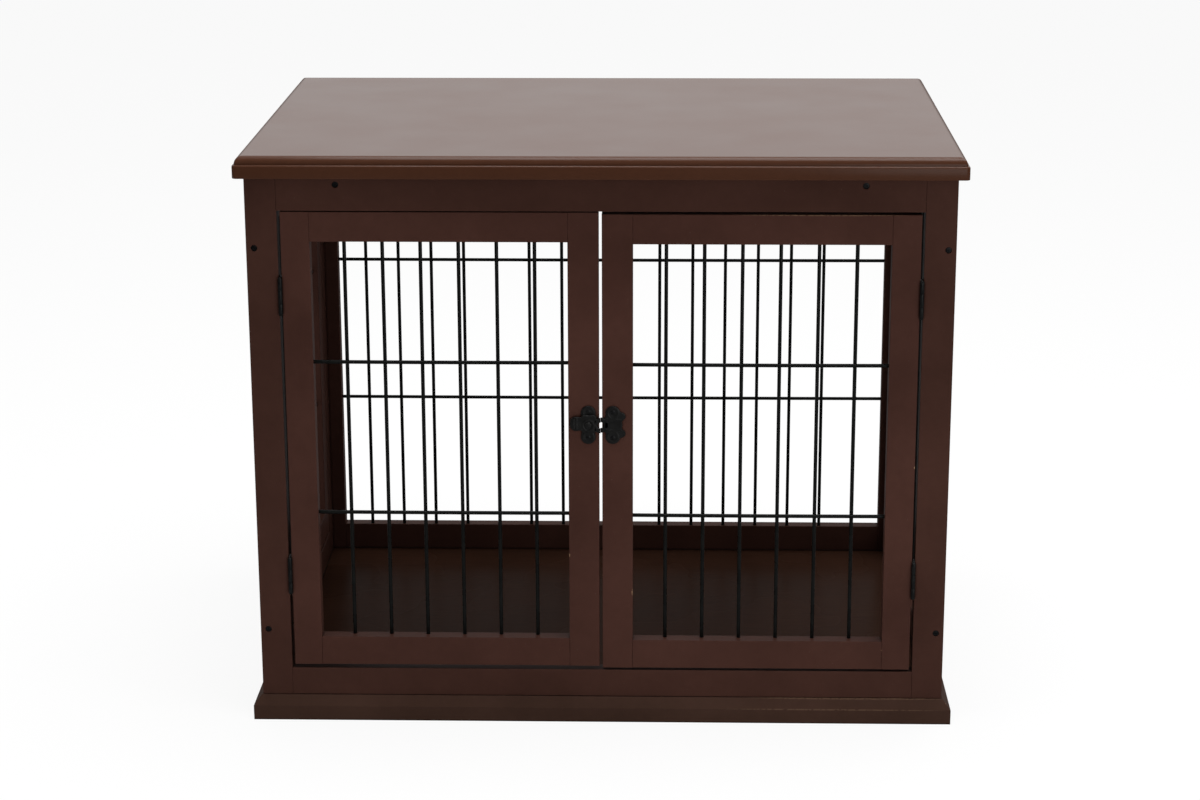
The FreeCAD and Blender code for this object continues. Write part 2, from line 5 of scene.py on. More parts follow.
import bmesh
import bpy
import numpy as np
from mathutils import Matrix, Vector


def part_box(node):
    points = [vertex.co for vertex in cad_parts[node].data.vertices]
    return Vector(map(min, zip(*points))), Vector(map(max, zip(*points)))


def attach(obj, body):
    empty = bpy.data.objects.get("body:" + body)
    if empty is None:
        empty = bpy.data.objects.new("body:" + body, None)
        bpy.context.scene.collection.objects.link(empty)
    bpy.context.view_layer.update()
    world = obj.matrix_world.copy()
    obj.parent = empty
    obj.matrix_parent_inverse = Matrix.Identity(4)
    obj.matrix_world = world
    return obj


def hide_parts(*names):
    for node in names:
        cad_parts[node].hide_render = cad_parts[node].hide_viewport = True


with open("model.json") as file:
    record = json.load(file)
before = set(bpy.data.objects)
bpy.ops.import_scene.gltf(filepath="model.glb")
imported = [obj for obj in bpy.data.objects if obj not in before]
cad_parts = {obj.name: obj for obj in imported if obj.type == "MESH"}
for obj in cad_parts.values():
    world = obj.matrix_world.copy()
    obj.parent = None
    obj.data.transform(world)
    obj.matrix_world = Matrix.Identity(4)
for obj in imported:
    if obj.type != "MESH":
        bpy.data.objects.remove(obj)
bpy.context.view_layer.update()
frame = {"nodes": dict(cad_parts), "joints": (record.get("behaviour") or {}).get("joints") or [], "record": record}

bl_info = {
    "name": "Dog Crate End Table",
    "version": (1, 0, 0),
    "blender": (4, 5, 0),
    "location": "View3D > Sidebar > Crate",
    "description": "Finishes and detail pieces for a wooden crate that is also an end table",
    "category": "Object",
}

MM = 0.001


# ---------------------------------------------------------------- colours

def linear(text):
    """Turn an sRGB hex value into linear red, green and blue."""
    parts = [int(text[i:i + 2], 16) / 255 for i in (1, 3, 5)]
    return [c / 12.92 if c <= 0.04045 else ((c + 0.055) / 1.055) ** 2.4 for c in parts]


def colour(label, text, words):
    """A colour property with its default written as sRGB hex."""
    return bpy.props.FloatVectorProperty(
        name=label, description=words, subtype="COLOR", size=3, min=0, max=1, default=linear(text))


def length(label, millimetres, words):
    """A length property with its default written in millimetres."""
    return bpy.props.FloatProperty(
        name=label, description=words, subtype="DISTANCE", unit="LENGTH",
        default=millimetres * MM, precision=4)


class CrateColours(bpy.types.PropertyGroup):
    """The colour of each finish"""
    frame_paint: colour("Frame paint", "#462e27", "Paint on the four frames")
    door_paint: colour("Door paint", "#4b312a", "Paint on the three doors, a little redder")
    base_paint: colour("Base paint", "#433028", "Paint on the base moulding")
    top_paint: colour("Top paint", "#4e3022", "Paint on the table top")
    floor_laminate: colour("Floor laminate", "#402a20", "Printed laminate of the floor board")
    # The bare board colour also paints the highlight lines that are given among the marks.
    bare_board: colour("Bare board", "#a58468", "Fibreboard that shows where paint has chipped")
    wire_coat: colour("Wire coat", "#131413", "Powder coat on the wires")
    latch_enamel: colour("Latch enamel", "#111110", "Enamel on the latch castings")
    hinge_steel: colour("Hinge steel", "#121313", "Blackened steel of the hinges")
    screw_steel: colour("Screw steel", "#101011", "Blackened steel of the screws")


class CrateSizes(bpy.types.PropertyGroup):
    """The sizes of the detail pieces"""
    wire: length("Wire", 4.3, "Diameter of the grille wires")
    nose_height: length("Nose height", 15.2, "Height of the rounded nose of the top")
    nose_round: length("Nose round", 2.0, "Radius on the upper edge of the nose")
    ledge: length("Ledge", 2.6, "Flat ledge between the nose and the quarter round")
    quarter_round: length("Quarter round", 8.5, "Radius of the quarter round under the flat of the top")
    knuckle: length("Knuckle", 2.4, "Radius of the hinge knuckles")
    leaf: length("Leaf", 1.2, "Thickness of the hinge leaves")
    screw_head: length("Screw head", 3.1, "Radius of the screw heads in the frames")
    latch_screw: length("Latch screw", 3.0, "Radius of the screw heads on the latches")


# ---------------------------------------------------------------- surfaces

# In metres: points this close are one, and an edge this short is dissolved.
SAME_POINT = 2e-6
SLIVER = 1e-7
# A way that no wire follows, to start a wire's round section from.
ASKEW = (0.31, 0.95, 0.11)


def joined(name, grids, body, finish, stands_for=(), sharp=35):
    """Make one piece from grids of points, each (rows, columns, 3) in metres.

    Neighbouring points of a grid make a quad. Points that fall on one another are merged,
    which closes each grid at its seam and its poles, and then every shell is turned outwards.
    """
    points, quads, start = [], [], 0
    for grid in grids:
        rows, columns = grid.shape[:2]
        corner = start + np.arange(rows - 1)[:, None] * columns + np.arange(columns - 1)
        quad = np.stack([corner, corner + 1, corner + columns + 1, corner + columns], -1)
        quads.append(quad.reshape(-1, 4))
        points.append(grid.reshape(-1, 3))
        start += rows * columns
    mesh = bpy.data.meshes.new(name)
    mesh.from_pydata(np.concatenate(points).tolist(), [], np.concatenate(quads).tolist())
    shell = bmesh.new()
    shell.from_mesh(mesh)
    bmesh.ops.remove_doubles(shell, verts=shell.verts, dist=SAME_POINT)
    bmesh.ops.dissolve_degenerate(shell, edges=shell.edges, dist=SLIVER)
    bmesh.ops.recalc_face_normals(shell, faces=shell.faces)
    shell.to_mesh(mesh)
    shell.free()
    mesh.shade_smooth()
    mesh.set_sharp_from_angle(angle=math.radians(sharp))
    piece = bpy.data.objects.new(name, mesh)
    bpy.context.scene.collection.objects.link(piece)
    mesh.materials.append(finish)
    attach(piece, body)
    if stands_for:
        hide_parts(*stands_for)
    return piece


def circle(count):
    """Cosines and sines of a full turn in even steps, its last point on its first."""
    turn = np.linspace(0, 2 * np.pi, count + 1)
    return np.cos(turn), np.sin(turn)


def laid(points, origin, right, up, out):
    """Carry points given as (right, up, out) in millimetres into the frame."""
    axes = np.array([right, up, out], float)
    return np.asarray(origin, float) + points * MM @ axes


def wire_along(start, end, radius, bow, sides=14, steps=10):
    """A round wire: a circle carried along a line that bows by a sine, shut by domes.

    Along the wire, at share s, the middle is start + s (end - start) + bow sin(pi s). Each dome is
    a quarter ellipse, half a radius long: at angle q it is radius sin q wide.
    """
    start, end, bow = (np.asarray(v, float) for v in (start, end, bow))
    span = np.linalg.norm(end - start)
    way = (end - start) / span
    dome = radius * 0.5
    inner = np.linspace(dome, span - dome, steps + 1)
    quarter = np.linspace(0, np.pi / 2, 4)[:-1]
    depth, width = dome * (1 - np.cos(quarter)), radius * np.sin(quarter)
    along = np.concatenate([depth, inner, (span - depth)[::-1]])
    size = np.concatenate([width, np.full(inner.size, radius), width[::-1]])
    share = along / span
    middle = start + along[:, None] * way + np.sin(np.pi * share)[:, None] * bow
    side = np.cross(way, ASKEW)
    side /= np.linalg.norm(side)
    over = np.cross(way, side)
    c, s = circle(sides)
    ring = c[None, :, None] * side + s[None, :, None] * over
    return middle[:, None, :] + size[:, None, None] * ring


def turned(profile, origin, axis, sides=24):
    """A turned shape: the (radius, height) profile, in millimetres, swung about an axis."""
    profile = np.asarray(profile, float)
    axis = np.asarray(axis, float)
    side = np.cross(axis, [0.0, 0.6, 0.8] if abs(axis[0]) > 0.5 else [1.0, 0.0, 0.0])
    side /= np.linalg.norm(side)
    c, s = circle(sides)
    flat = np.stack([profile[:, :1] * c, profile[:, :1] * s,
                     np.broadcast_to(profile[:, 1:], (len(profile), sides + 1))], -1)
    return laid(flat, origin, side, np.cross(axis, side), axis)


def nugget(centre, sizes, sides=10, rows=6):
    """A weld nugget: an ellipsoid, centre + sizes times (sin a cos b, sin a sin b, cos a)."""
    c, s = circle(sides)
    polar = np.linspace(0, np.pi, rows + 1)[:, None]
    ball = np.stack([np.sin(polar) * c, np.sin(polar) * s, np.cos(polar) + 0 * c], -1)
    return np.asarray(centre, float) + ball * np.asarray(sizes, float)


def reach(count, circles=(), boxes=(), soft=2):
    """How far an outline lies from its middle at each angle, in millimetres.

    The outline is that of circles (x, y, radius) and boxes (low x, low y, high x, high y) joined
    together. Each angle takes the farthest crossing, and a running mean over soft steps to each
    side rounds the inner corners, as a casting's are.
    """
    turn = np.linspace(0, 2 * np.pi, count, endpoint=False)
    c, s = np.cos(turn), np.sin(turn)
    far = np.zeros(count)
    for x, y, radius in circles:
        along = x * c + y * s
        inside = along ** 2 - (x * x + y * y - radius * radius)
        far = np.maximum(far, np.where(inside > 0, along + np.sqrt(np.maximum(inside, 0)), 0))
    for low_x, low_y, high_x, high_y in boxes:
        with np.errstate(divide="ignore"):
            leave_x = np.where(c > 0, high_x, low_x) / np.where(np.abs(c) < 1e-9, 1e-9, c)
            leave_y = np.where(s > 0, high_y, low_y) / np.where(np.abs(s) < 1e-9, 1e-9, s)
        far = np.maximum(far, np.minimum(leave_x, leave_y))
    window = np.ones(2 * soft + 1) / (2 * soft + 1)
    padded = np.concatenate([far[-soft:], far, far[:soft]])
    far = np.convolve(padded, window, "valid")
    return np.append(turn, 2 * np.pi), np.append(far, far[0])


def casting(outline, low, high, edge, relief=None, rows=9):
    """A flat casting: an outline about a middle, with rounded edges and a relief on its face.

    Ring by ring the outline shrinks to the middle. Near the rim the height follows a quarter
    circle of radius edge; on the face, relief(x, y) is added to it.
    """
    turn, far = outline
    quarter = np.linspace(0, np.pi / 2, 5)
    inset = np.concatenate([[edge * 0.3, 0.0], edge * (1 - np.cos(quarter))])
    height = np.concatenate([[low, low + edge * 0.3], high - edge + edge * np.sin(quarter)])
    rim = far[None, :] - inset[:, None]
    shares = np.linspace(1, 0, rows + 1)[1:]
    face = (far - edge) * shares[:, None]
    radius = np.concatenate([np.zeros((1, far.size)), rim, face])
    x, y = radius * np.cos(turn), radius * np.sin(turn)
    z = np.broadcast_to(np.concatenate([[low], height, np.full(rows, high)])[:, None], x.shape).copy()
    if relief is not None:
        z[-rows:] += relief(x[-rows:], y[-rows:])
    return np.stack([x, y, z], -1)


def half_ring(inner, outer, low, high, start, end, edge=0.5, steps=22):
    """Half a flat ring: a rounded box section carried round an arc, drawn in at its two ends."""
    corner = np.radians([180, 225, 270, 270, 315, 360, 0, 45, 90, 90, 135, 180, 180])
    side = np.array([-1, -1, -1, 1, 1, 1, 1, 1, 1, -1, -1, -1, -1])
    level = np.array([-1, -1, -1, -1, -1, -1, 1, 1, 1, 1, 1, 1, -1])
    radial = side * ((outer - inner) / 2 - edge) + edge * np.cos(corner)
    height = level * ((high - low) / 2 - edge) + edge * np.sin(corner)
    turn = np.radians(np.linspace(start, end, steps + 1))
    turn = np.concatenate([turn[:1], turn, turn[-1:]])
    size = np.concatenate([[0.0], np.ones(steps + 1), [0.0]])[:, None]
    radius = (outer + inner) / 2 + size * radial
    return np.stack([radius * np.cos(turn)[:, None], radius * np.sin(turn)[:, None],
                     (low + high) / 2 + size * height], -1)


# How far the rim of a screw head reaches below its edge, in mm.
HEAD_RIM = 0.8


def cross_head(radius, origin, right, up, out, dome=0.7, sides=40, rows=14, spin=0.5):
    """A screw head with a cross recess, in millimetres, laid on its place.

    At share s of the radius its height is dome (1 - s s), less the depth of a cross of two bars,
    whose sides slope over a fraction of a millimetre. A rim below closes the head.
    """
    c, s = circle(sides)
    share = np.linspace(0, 1, rows + 1)[:, None]
    x, y = radius * share * c, radius * share * s
    a, b = x * math.cos(spin) + y * math.sin(spin), y * math.cos(spin) - x * math.sin(spin)
    half_slot, arm, recess = radius * 0.15, radius * 0.58, 0.9
    side_slope, end_slope = 0.18, 0.3

    def bar_mask(across, along):
        wide = np.clip((half_slot - np.abs(across)) / side_slope + 0.5, 0, 1)
        return wide * np.clip((arm - np.abs(along)) / end_slope, 0, 1)

    cross = np.maximum(bar_mask(a, b), bar_mask(b, a))
    z = dome * (1 - share ** 2) - recess * cross
    bottom = np.full((1, sides + 1), -HEAD_RIM)
    under = np.stack([radius * c[None], radius * s[None], bottom], -1)
    foot = np.stack([0 * c[None], 0 * s[None], bottom], -1)
    head = np.concatenate([np.stack([x, y, z + 0 * c], -1), under, foot])
    return laid(head, origin, right, up, out)


# ---------------------------------------------------------------- materials

def add(tree, kind, feeds=None, **settings):
    """Add a node: settings are its own, and feeds gives its inputs values or sockets."""
    node = tree.nodes.new("ShaderNode" + kind)
    for name, value in settings.items():
        setattr(node, name, value)
    for name, value in (feeds or {}).items():
        if isinstance(value, bpy.types.NodeSocket):
            tree.links.new(value, node.inputs[name])
        else:
            node.inputs[name].default_value = value
    return node


def blank(name):
    """A new material with only an output."""
    material = bpy.data.materials.new(name)
    material.use_nodes = True
    material.node_tree.nodes.clear()
    return material, material.node_tree


def shade(tree, feeds):
    """Add the shader and the output of a material."""
    shader = add(tree, "BsdfPrincipled", feeds)
    add(tree, "OutputMaterial", {"Surface": shader.outputs[0]})


def noise(tree, where, millimetres, detail=2.0, rough=0.5):
    """Noise whose lumps are about as wide as the given size."""
    return add(tree, "TexNoise", {"Vector": where, "Scale": 1 / (millimetres * MM), "Detail": detail,
                                  "Roughness": rough}).outputs["Fac"]


def between(tree, value, low, high, to_low=0.0, to_high=1.0):
    """Carry a value from one range to another, held at its ends."""
    return add(tree, "MapRange", {"Value": value, "From Min": low, "From Max": high,
                                  "To Min": to_low, "To Max": to_high}).outputs[0]


def spread(tree, field, to_low, to_high):
    """Carry noise, most of which lies between 0.3 and 0.7, to another range."""
    return between(tree, field, 0.3, 0.7, to_low, to_high)


def times(tree, a, b):
    """The product of two values."""
    return add(tree, "Math", {0: a, 1: b}, operation="MULTIPLY").outputs[0]


def mixed(tree, share, a, b):
    """A colour between two, by share."""
    feeds = {0: share}
    for index, value in ((6, a), (7, b)):
        feeds[index] = value if isinstance(value, bpy.types.NodeSocket) else (*value, 1)
    return add(tree, "Mix", feeds, data_type="RGBA").outputs[2]


def bevelled(tree, millimetres):
    """A normal rounded over the edges, and a mask that is 1 along them."""
    rounded = add(tree, "Bevel", {"Radius": millimetres * MM}, samples=6).outputs[0]
    flat = add(tree, "NewGeometry").outputs["Normal"]
    facing = add(tree, "VectorMath", {0: rounded, 1: flat}, operation="DOT_PRODUCT").outputs["Value"]
    return rounded, between(tree, facing, 0.995, 0.8)


def painted_crevice_shade(tree, millimetres, darkest):
    """Painted shade: 1 on open faces, down to darkest in the joints and inner corners narrower than a length,
    where little ambient light reaches.
    """
    shelter = add(tree, "AmbientOcclusion", {"Distance": millimetres * MM}, samples=8).outputs["AO"]
    return between(tree, shelter, 0.35, 0.85, darkest, 1.0)


def marked(tree, where, marks):
    """The share of wear or of painted highlight at a place: each mark is an ellipsoid, its middle and radii in mm,
    with a strength.

    A mark is at its strength up to 0.7 of its radii and gone at their end, and noise of 2.5 mm
    makes its edge ragged.
    """
    total = 0.0
    ragged = between(tree, noise(tree, where, 2.5, 3.0), 0.38, 0.5)
    for middle, radii, strength in marks:
        middle, radii = ([v * MM for v in values] for values in (middle, radii))
        away = add(tree, "VectorMath", {0: where, 1: middle}, operation="SUBTRACT").outputs[0]
        scaled = add(tree, "VectorMath", {0: away, 1: radii}, operation="DIVIDE").outputs[0]
        far = add(tree, "VectorMath", {0: scaled}, operation="LENGTH").outputs["Value"]
        share = times(tree, between(tree, far, 0.7, 1.0, strength, 0.0), ragged)
        total = add(tree, "Math", {0: total, 1: share}, operation="MAXIMUM").outputs[0]
    return total


def satin_paint(name, paint, bare, gloss=0.36, level=0.012, peel_depth=0.00005, clouds=0.15, marks=()):
    """Satin paint sprayed on fibreboard.

    The eye sees a dark even brown with a faint orange peel of about 2 mm, a slow drift of tone (by
    the share clouds) over a hand's width, shade painted into joints and inner corners, edges rubbed a
    little thin, a few pale chips on them, and the given marks, which are chips or painted highlight
    lines. The specular level is far below a paint's 0.5, because the white studio would wash the
    brown out at a grazing angle; the top takes a higher one and mirrors it.
    """
    material, tree = blank(name)
    where = add(tree, "TexCoord").outputs["Object"]
    rounded, edge = bevelled(tree, 1.3)
    drift = noise(tree, where, 110, 3.0)
    mottle = noise(tree, where, 9, 4.0, 0.6)
    tone = times(tree, spread(tree, drift, 1 - clouds, 1 + clouds), spread(tree, mottle, 0.96, 1.04))
    # Shade is painted into joints and inner corners here, darker where little ambient light reaches.
    tone = times(tree, tone, painted_crevice_shade(tree, millimetres=4, darkest=0.3))
    body = add(tree, "VectorMath", {0: tuple(paint), 3: tone}, operation="SCALE").outputs[0]
    rubbed = times(tree, edge, between(tree, noise(tree, where, 16, 3.0), 0.42, 0.7, 0.05, 0.5))
    thin = mixed(tree, rubbed, body, [min(1, 2.2 * c + 0.012) for c in paint])
    chip_and_highlight = times(tree, between(tree, edge, 0.25, 0.6),
                 between(tree, noise(tree, where, 5, 2.0), 0.735, 0.75))
    # The marks add chips, and highlight lines painted in the bare board colour.
    if marks:
        chip_and_highlight = add(tree, "Math", {0: chip_and_highlight, 1: marked(tree, where, marks)}, operation="MAXIMUM").outputs[0]
    dust = between(tree, noise(tree, where, 1.6, 0.0), 0.9, 0.93, 0.0, 0.2)
    # Chips and painted highlight lines turn the paint to the bare board colour here.
    worn = mixed(tree, chip_and_highlight, thin, bare)
    dusty = mixed(tree, dust, worn, linear("#8d8078"))
    peel = noise(tree, where, 2.2, 2.0)
    wave = noise(tree, where, 26, 1.0)
    height = add(tree, "Math", {0: peel, 1: times(tree, wave, 3.0)}, operation="ADD").outputs[0]
    bump = add(tree, "Bump", {"Strength": 0.35, "Distance": peel_depth, "Height": height, "Normal": rounded})
    shine = add(tree, "Math", {0: spread(tree, drift, gloss - 0.02, gloss + 0.02),
                               1: times(tree, chip_and_highlight, 0.4)}, operation="ADD").outputs[0]
    shade(tree, {"Base Color": dusty, "Roughness": shine, "Specular IOR Level": level,
                 "Normal": bump.outputs[0]})
    return material


def printed_laminate(name, print_colour):
    """Paper laminate on the floor board: a faint streak along X, 3 mm wide, under a satin skin.

    Its specular level is close to none, because the board is seen at a low angle.
    """
    material, tree = blank(name)
    where = add(tree, "TexCoord").outputs["Object"]
    drawn = add(tree, "Mapping", {"Vector": where, "Scale": (0.06, 1, 1)}).outputs[0]
    streak = noise(tree, drawn, 3, 4.0, 0.65)
    cloud = noise(tree, where, 140, 2.0)
    tone = times(tree, spread(tree, streak, 0.86, 1.14), spread(tree, cloud, 0.9, 1.12))
    body = add(tree, "VectorMath", {0: tuple(print_colour), 3: tone}, operation="SCALE").outputs[0]
    bump = add(tree, "Bump", {"Strength": 0.3, "Distance": 0.00004, "Height": streak})
    shade(tree, {"Base Color": body, "Roughness": spread(tree, cloud, 0.24, 0.3),
                 "Specular IOR Level": 0.0035, "Normal": bump.outputs[0]})
    return material


def powder_coat(name, coat):
    """Glossy black powder coat on steel wire: a fine pebbling of 0.8 mm and a thin streak of light."""
    material, tree = blank(name)
    where = add(tree, "TexCoord").outputs["Object"]
    pebble = noise(tree, where, 0.8, 2.0)
    cloud = noise(tree, where, 18, 2.0)
    body = add(tree, "VectorMath", {0: tuple(coat), 3: spread(tree, cloud, 0.8, 1.3)},
               operation="SCALE").outputs[0]
    bump = add(tree, "Bump", {"Strength": 0.15, "Distance": 0.00002, "Height": pebble})
    shade(tree, {"Base Color": body, "Roughness": spread(tree, cloud, 0.24, 0.34),
                 "Specular IOR Level": 0.12, "Normal": bump.outputs[0]})
    return material


def enamelled_zinc(name, enamel):
    """Black enamel on a die casting: soft edges worn to bare metal, pits of 0.7 mm, and shade painted into its
    crevices.
    """
    material, tree = blank(name)
    where = add(tree, "TexCoord").outputs["Object"]
    rounded, edge = bevelled(tree, 0.4)
    pit = noise(tree, where, 0.7, 3.0)
    cloud = noise(tree, where, 6, 3.0)
    body = add(tree, "VectorMath", {0: tuple(enamel), 3: spread(tree, cloud, 0.7, 1.5)},
               operation="SCALE").outputs[0]
    # Shade is painted into the crevices beside the ribs and lobes.
    painted_seam_shade = painted_crevice_shade(tree, millimetres=2.5, darkest=0.25)
    body = add(tree, "VectorMath", {0: body, 3: painted_seam_shade}, operation="SCALE").outputs[0]
    worn = mixed(tree, times(tree, edge, between(tree, cloud, 0.4, 0.65, 0.0, 0.6)), body, linear("#5a5652"))
    bump = add(tree, "Bump", {"Strength": 0.4, "Distance": 0.00008, "Height": pit, "Normal": rounded})
    shade(tree, {"Base Color": worn, "Roughness": spread(tree, pit, 0.3, 0.48),
                 "Specular IOR Level": 0.3, "Normal": bump.outputs[0]})
    return material


def blackened_steel(name, steel):
    """Black oxide on steel: a dark, slightly oily metal sheen with cloudy patches 3 mm across."""
    material, tree = blank(name)
    where = add(tree, "TexCoord").outputs["Object"]
    cloud = noise(tree, where, 3, 3.0)
    grit = noise(tree, where, 0.4, 2.0)
    body = add(tree, "VectorMath", {0: tuple(steel), 3: spread(tree, cloud, 0.8, 2.2)},
               operation="SCALE").outputs[0]
    bump = add(tree, "Bump", {"Strength": 0.3, "Distance": 0.00003, "Height": grit})
    shade(tree, {"Base Color": body, "Metallic": 0.4, "Roughness": spread(tree, cloud, 0.3, 0.45),
                 "Specular IOR Level": 0.3, "Normal": bump.outputs[0]})
    return material


def finish(name):
    """A finish that the paint shop has already mixed."""
    if name not in bpy.data.materials:
        raise RuntimeError(f"mix the finishes first: there is no {name}")
    return bpy.data.materials[name]


# Which finish each material slot of the record takes.
SLOT_FINISH = {
    "frame_paint": "satin_paint_frames",
    "door_paint": "satin_paint_doors",
    "base_paint": "satin_paint_base",
    "top_paint": "satin_paint_top",
    "floor_laminate": "printed_laminate_floor",
    "wire": "powder_coat_wires",
    "latch_casting": "enamelled_zinc_latches",
    "hinge_steel": "blackened_steel_hinges",
    "screw_steel": "blackened_steel_screws",
}


# Marks in plain view, as (middle, radii, strength), in mm: three chips on the front doors and a highlight painted
# along the top edge of the right one, then two highlight lines painted along the edges of the base on the right.
DOOR_CHIPS_AND_HIGHLIGHT = (
    ((-36.8, -276, 203), (1.5, 2.0, 2.2), 0.9),
    ((36.8, -276, 158), (1.5, 2.0, 4.5), 0.9),
    ((359.5, -276, 311), (1.3, 2.0, 1.8), 0.9),
    ((245, -276, 605), (100, 2.0, 1.0), 0.34),
)
BASE_PAINTED_HIGHLIGHTS = (
    ((270, -286.3, 17.2), (140, 2.0, 0.9), 0.16),
    ((290, -277.3, 28), (125, 2.5, 1.2), 0.16),
)


class CRATE_OT_finishes(bpy.types.Operator):
    """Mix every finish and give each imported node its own"""
    bl_idname = "crate.finishes"
    bl_label = "Finishes"

    def execute(self, context):
        look = context.scene.crate_colours
        satin_paint("satin_paint_frames", look.frame_paint, look.bare_board)
        satin_paint("satin_paint_doors", look.door_paint, look.bare_board, marks=DOOR_CHIPS_AND_HIGHLIGHT)
        satin_paint("satin_paint_base", look.base_paint, look.bare_board, marks=BASE_PAINTED_HIGHLIGHTS)
        satin_paint("satin_paint_top", look.top_paint, look.bare_board, gloss=0.2, level=0.12,
                    peel_depth=0.000004, clouds=0.04)
        printed_laminate("printed_laminate_floor", look.floor_laminate)
        powder_coat("powder_coat_wires", look.wire_coat)
        enamelled_zinc("enamelled_zinc_latches", look.latch_enamel)
        blackened_steel("blackened_steel_hinges", look.hinge_steel)
        blackened_steel("blackened_steel_screws", look.screw_steel)
        for part in frame["record"]["subparts"]:
            node = frame["nodes"][part["node"]]
            node.data.materials.clear()
            node.data.materials.append(finish(SLOT_FINISH[part["material_slot"]]))
        return {"FINISHED"}


# ---------------------------------------------------------------- table top

TOP_CORNER = 5 * MM
# How far in the flat and the underside run as rings, before they close on the middle.
TOP_FLAT = 90 * MM
# The small round on the lower edge of the nose.
TOP_EASE = 0.8 * MM


def corner_ring(half_x, half_y, radius, inset, steps=10):
    """The X and Y values of a rectangle with rounded corners, drawn in by an inset and closed."""
    radius = max(radius - inset, 0.4 * MM)
    quarter = np.linspace(0, np.pi / 2, steps)
    turn = np.concatenate([quarter + k * np.pi / 2 for k in range(4)])
    sign_x = np.repeat([1, -1, -1, 1], steps)
    sign_y = np.repeat([1, 1, -1, -1], steps)
    x = sign_x * (half_x - inset - radius) + radius * np.cos(turn)
    y = sign_y * (half_y - inset - radius) + radius * np.sin(turn)
    return np.append(x, x[0]), np.append(y, y[0])


def arc(centre, radius, start, end, steps):
    """Points of an arc as (inset, height), angles in degrees from the outward way."""
    turn = np.radians(np.linspace(start, end, steps))
    return [(centre[0] - radius * math.cos(t), centre[1] + radius * math.sin(t)) for t in turn]


class CRATE_OT_table_top(bpy.types.Operator):
    """Mould the table top: a nose, a ledge and a quarter round, carried round a rectangle"""
    bl_idname = "crate.table_top"
    bl_label = "Table top"

    def execute(self, context):
        size = context.scene.crate_sizes
        low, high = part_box("top_board")
        nose, round_, ledge, quarter = size.nose_height, size.nose_round, size.ledge, size.quarter_round
        thick = high.z - low.z
        profile = [(TOP_FLAT, 0.0), (TOP_EASE * 2, 0.0)]
        profile += arc((TOP_EASE, TOP_EASE), TOP_EASE, -90, 0, 5)
        profile += arc((round_, nose - round_), round_, 0, 90, 8)
        profile += [(ledge - 0.3 * MM, nose), (ledge - 0.05 * MM, nose + 0.1 * MM),
                    (ledge, nose + 0.4 * MM)]
        profile += arc((ledge + quarter, thick - quarter), quarter, 0, 90, 14)
        profile += [(ledge + quarter + 2 * MM, thick), (TOP_FLAT, thick)]
        rings = []
        for inset, height in profile:
            x, y = corner_ring(high.x, high.y, TOP_CORNER, inset)
            rings.append(np.stack([x, y, np.full_like(x, low.z + height)], -1))
        rings.insert(0, rings[0] * [0, 0, 1])
        rings.append(rings[-1] * [0, 0, 1])
        joined("table_top_moulded", [np.stack(rings)], "carcass", finish("satin_paint_top"),
               ("top_board",), sharp=50)
        return {"FINISHED"}


# ---------------------------------------------------------------- grilles

# For each grille: its body, the way along it and the way in through it, then in mm its pitch, and the
# spacing of its cross wires and their rise above its middle.
GRILLES = {
    "back_grille": ("carcass", (-1, 0, 0), (0, -1, 0), 43.5, 190, 0),
    "right_side_grille": ("carcass", (0, 1, 0), (-1, 0, 0), 43.5, 190, 0),
    "front_left_door_grille": ("front_left_door", (1, 0, 0), (0, 1, 0), 43.0, 180, 4.5),
    "front_right_door_grille": ("front_right_door", (1, 0, 0), (0, 1, 0), 43.0, 180, 4.5),
    "side_door_grille": ("side_door", (0, -1, 0), (1, 0, 0), 43.0, 180, 4.5),
}
WIRE_SEAT = 8 * MM
WELD_BITE = 0.4 * MM
# A cross wire hangs and bends in at its middle, and an upright wanders to one side.
CROSS_SAG = 0.3 * MM
CROSS_BEND = 0.1 * MM
UPRIGHT_WANDER = 0.2 * MM
# Half sizes of a weld nugget, across the net and through it.
NUGGET_WIDE = 1.9 * MM
NUGGET_DEEP = 1.5 * MM


class CRATE_OT_grilles(bpy.types.Operator):
    """Draw the welded grilles: round wires that enter the rails, with a nugget at each crossing"""
    bl_idname = "crate.grilles"
    bl_label = "Wire grilles"

    def execute(self, context):
        radius = context.scene.crate_sizes.wire / 2
        for node, (body, along, inward, pitch, spacing, rise) in GRILLES.items():
            low, high = (np.array(corner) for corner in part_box(node))
            middle = (low + high) / 2
            along, inward, up = (np.array(v, float) for v in (along, inward, (0, 0, 1)))
            half = abs((high - low) @ along) / 2
            tall = (high[2] - low[2]) / 2
            count = int((2 * half - 2 * WIRE_SEAT) / (pitch * MM) + 1e-6)
            reach_in = radius - WELD_BITE / 2
            crossings = ((rise - spacing / 2) * MM, (rise + spacing / 2) * MM)
            grids = []
            for z in crossings:
                centre = middle - inward * reach_in + up * z
                sag = inward * CROSS_BEND - up * CROSS_SAG
                grids.append(wire_along(centre - along * half, centre + along * half, radius, sag,
                                        steps=16))
            for index in range(count):
                shift = (index - (count - 1) / 2) * pitch * MM
                centre = middle + inward * reach_in + along * shift
                bow = along * UPRIGHT_WANDER * math.sin(2.4 * index + pitch)
                grids.append(wire_along(centre - up * tall, centre + up * tall, radius, bow,
                                        steps=12))
                for z in crossings:
                    weld = middle + along * shift + up * z
                    sizes = NUGGET_WIDE * (1 - abs(inward)) + NUGGET_DEEP * abs(inward)
                    grids.append(nugget(weld, sizes))
            joined(f"{node}_wires", grids, body, finish("powder_coat_wires"), (node,))
        return {"FINISHED"}


# ---------------------------------------------------------------- hinges

# For each door: the way from its jamb to the door, and the way in.
DOORS = {
    "front_left_door": ((1, 0, 0), (0, 1, 0)),
    "front_right_door": ((-1, 0, 0), (0, 1, 0)),
    "side_door": ((0, -1, 0), (1, 0, 0)),
}
